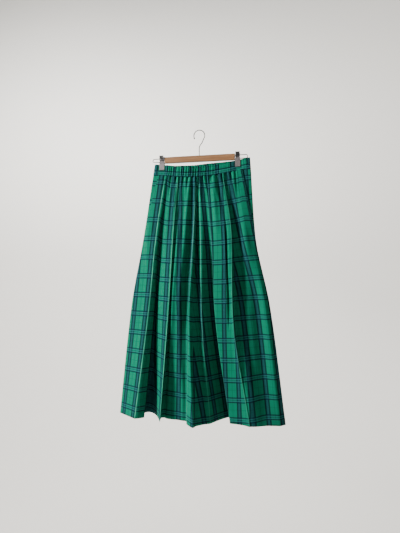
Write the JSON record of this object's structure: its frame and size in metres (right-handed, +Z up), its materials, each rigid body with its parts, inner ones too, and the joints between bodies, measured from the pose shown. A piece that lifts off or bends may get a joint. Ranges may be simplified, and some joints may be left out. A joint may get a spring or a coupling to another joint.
{
  "type": "pleated maxi skirt on a clip hanger",
  "caption": "Long pleated plaid skirt with a gathered elastic waist and slanted side pockets, held flat by the two clips of a wooden hanger with a wire hook.",
  "frame": {"origin": "inside top of the hook, where the hanger hangs on a rod or a wall hook", "axes": "+Z up, the skirt's front faces -Y, +X to the right of somebody who looks at the front"},
  "size_m": [0.5753, 0.1357, 0.985],
  "materials": {
    "plaid_cloth": "woven plaid, emerald green with navy and pale lines, matt",
    "bar_wood": "light brown, clear varnish",
    "bright_wire": "plated wire",
    "clip_steel": "pressed and plated sheet",
    "grip_black": "black, satin"
  },
  "bodies": {
    "root": {"skirt_front": "plaid_cloth", "skirt_back": "plaid_cloth", "waistband_front": "plaid_cloth", "waistband_back": "plaid_cloth", "hip_left": "plaid_cloth", "hip_right": "plaid_cloth", "hanger_bar": "bar_wood", "hanger_hook": "bright_wire", "wire_left": "bright_wire", "wire_right": "bright_wire", "clip_left_front": "clip_steel", "clip_left_back": "clip_steel", "clip_left_pin": "clip_steel", "clip_left_grip_front": "grip_black", "clip_left_grip_back": "grip_black", "clip_right_front": "clip_steel", "clip_right_back": "clip_steel", "clip_right_pin": "clip_steel", "clip_right_grip_front": "grip_black", "clip_right_grip_back": "grip_black"}
  },
  "joints": []
}
